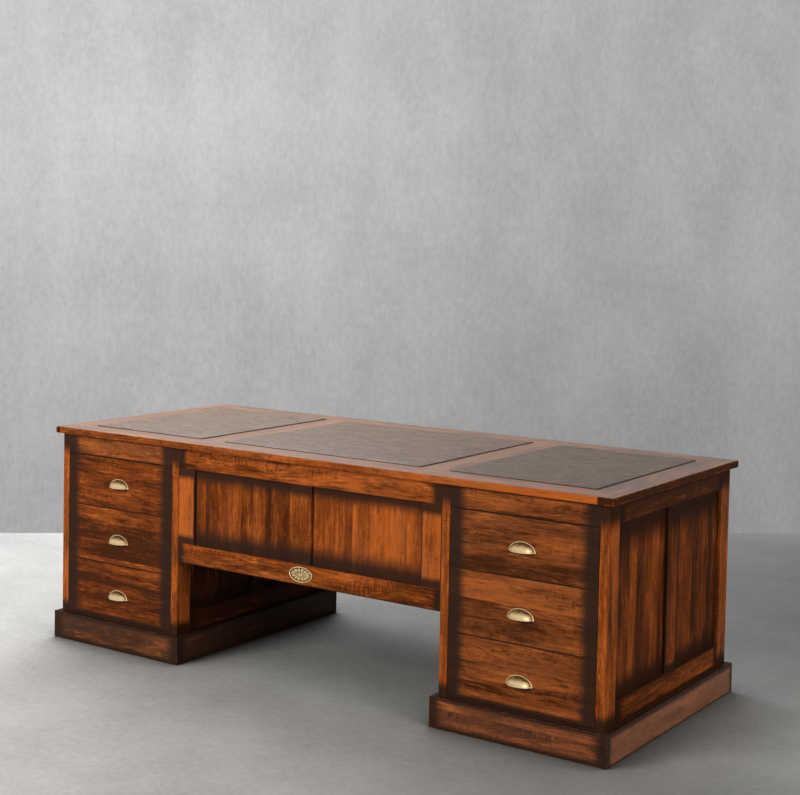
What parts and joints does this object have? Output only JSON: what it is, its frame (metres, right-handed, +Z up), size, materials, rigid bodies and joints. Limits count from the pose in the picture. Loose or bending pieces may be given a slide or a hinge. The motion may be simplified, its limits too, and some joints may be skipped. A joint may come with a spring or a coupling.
{
  "type": "partners desk",
  "caption": "Partners desk: panelled pedestals with drawers on both faces, a framed modesty panel between them and a leather-lined top.",
  "frame": {"origin": "on the floor under the middle of the top", "axes": "+X along the desk to the right as seen from the front, +Y from the front to the back, +Z up"},
  "size_m": [2.24, 0.9536, 0.783],
  "materials": {
    "top_wood": "red-brown stained hardwood, burnished dark at the edges, satin lacquer",
    "stained_wood": "red-brown stained hardwood, burnished dark at the edges, satin lacquer",
    "inner_wood": "plain sanded hardwood, unstained",
    "leather": "dark brown hide with fine creases, soft sheen",
    "aged_brass": "aged brass, rubbed bright on the raised edges"
  },
  "bodies": {
    "desk_frame": {"top_border": "top_wood", "top_core_boards": "inner_wood", "leather_inset_left": "leather", "leather_inset_centre": "leather", "leather_inset_right": "leather", "left_outer_side_frame": "stained_wood", "left_inner_side_frame": "stained_wood", "left_side_panels": "stained_wood", "left_drawer_rails": "stained_wood", "left_drawer_runners": "inner_wood", "left_plinth": "stained_wood", "right_outer_side_frame": "stained_wood", "right_inner_side_frame": "stained_wood", "right_side_panels": "stained_wood", "right_drawer_rails": "stained_wood", "right_drawer_runners": "inner_wood", "right_plinth": "stained_wood", "drawer_dividers": "inner_wood", "base_boards": "inner_wood", "modesty_frame": "stained_wood", "modesty_panels": "stained_wood", "modesty_badge": "aged_brass", "kneehole_back_rail": "stained_wood", "top_fixing_blocks": "inner_wood"},
    "front_left_bottom_drawer": {"front_left_bottom_drawer_front": "stained_wood", "front_left_bottom_drawer_box": "inner_wood", "front_left_bottom_drawer_pull": "aged_brass"},
    "front_left_middle_drawer": {"front_left_middle_drawer_front": "stained_wood", "front_left_middle_drawer_box": "inner_wood", "front_left_middle_drawer_pull": "aged_brass"},
    "front_left_top_drawer": {"front_left_top_drawer_front": "stained_wood", "front_left_top_drawer_box": "inner_wood", "front_left_top_drawer_pull": "aged_brass"},
    "front_right_bottom_drawer": {"front_right_bottom_drawer_front": "stained_wood", "front_right_bottom_drawer_box": "inner_wood", "front_right_bottom_drawer_pull": "aged_brass"},
    "front_right_middle_drawer": {"front_right_middle_drawer_front": "stained_wood", "front_right_middle_drawer_box": "inner_wood", "front_right_middle_drawer_pull": "aged_brass"},
    "front_right_top_drawer": {"front_right_top_drawer_front": "stained_wood", "front_right_top_drawer_box": "inner_wood", "front_right_top_drawer_pull": "aged_brass"},
    "back_left_bottom_drawer": {"back_left_bottom_drawer_front": "stained_wood", "back_left_bottom_drawer_box": "inner_wood", "back_left_bottom_drawer_pull": "aged_brass"},
    "back_left_middle_drawer": {"back_left_middle_drawer_front": "stained_wood", "back_left_middle_drawer_box": "inner_wood", "back_left_middle_drawer_pull": "aged_brass"},
    "back_left_top_drawer": {"back_left_top_drawer_front": "stained_wood", "back_left_top_drawer_box": "inner_wood", "back_left_top_drawer_pull": "aged_brass"},
    "back_right_bottom_drawer": {"back_right_bottom_drawer_front": "stained_wood", "back_right_bottom_drawer_box": "inner_wood", "back_right_bottom_drawer_pull": "aged_brass"},
    "back_right_middle_drawer": {"back_right_middle_drawer_front": "stained_wood", "back_right_middle_drawer_box": "inner_wood", "back_right_middle_drawer_pull": "aged_brass"},
    "back_right_top_drawer": {"back_right_top_drawer_front": "stained_wood", "back_right_top_drawer_box": "inner_wood", "back_right_top_drawer_pull": "aged_brass"}
  },
  "joints": [
    {"name": "front_left_bottom_drawer_slide", "type": "slide", "parent": "desk_frame", "child": "front_left_bottom_drawer", "axis": [0, -1, 0], "range_m": [0, 0.32]},
    {"name": "front_left_middle_drawer_slide", "type": "slide", "parent": "desk_frame", "child": "front_left_middle_drawer", "axis": [0, -1, 0], "range_m": [0, 0.32]},
    {"name": "front_left_top_drawer_slide", "type": "slide", "parent": "desk_frame", "child": "front_left_top_drawer", "axis": [0, -1, 0], "range_m": [0, 0.32]},
    {"name": "front_right_bottom_drawer_slide", "type": "slide", "parent": "desk_frame", "child": "front_right_bottom_drawer", "axis": [0, -1, 0], "range_m": [0, 0.32]},
    {"name": "front_right_middle_drawer_slide", "type": "slide", "parent": "desk_frame", "child": "front_right_middle_drawer", "axis": [0, -1, 0], "range_m": [0, 0.32]},
    {"name": "front_right_top_drawer_slide", "type": "slide", "parent": "desk_frame", "child": "front_right_top_drawer", "axis": [0, -1, 0], "range_m": [0, 0.32]},
    {"name": "back_left_bottom_drawer_slide", "type": "slide", "parent": "desk_frame", "child": "back_left_bottom_drawer", "axis": [0, 1, 0], "range_m": [0, 0.32]},
    {"name": "back_left_middle_drawer_slide", "type": "slide", "parent": "desk_frame", "child": "back_left_middle_drawer", "axis": [0, 1, 0], "range_m": [0, 0.32]},
    {"name": "back_left_top_drawer_slide", "type": "slide", "parent": "desk_frame", "child": "back_left_top_drawer", "axis": [0, 1, 0], "range_m": [0, 0.32]},
    {"name": "back_right_bottom_drawer_slide", "type": "slide", "parent": "desk_frame", "child": "back_right_bottom_drawer", "axis": [0, 1, 0], "range_m": [0, 0.32]},
    {"name": "back_right_middle_drawer_slide", "type": "slide", "parent": "desk_frame", "child": "back_right_middle_drawer", "axis": [0, 1, 0], "range_m": [0, 0.32]},
    {"name": "back_right_top_drawer_slide", "type": "slide", "parent": "desk_frame", "child": "back_right_top_drawer", "axis": [0, 1, 0], "range_m": [0, 0.32]}
  ]
}
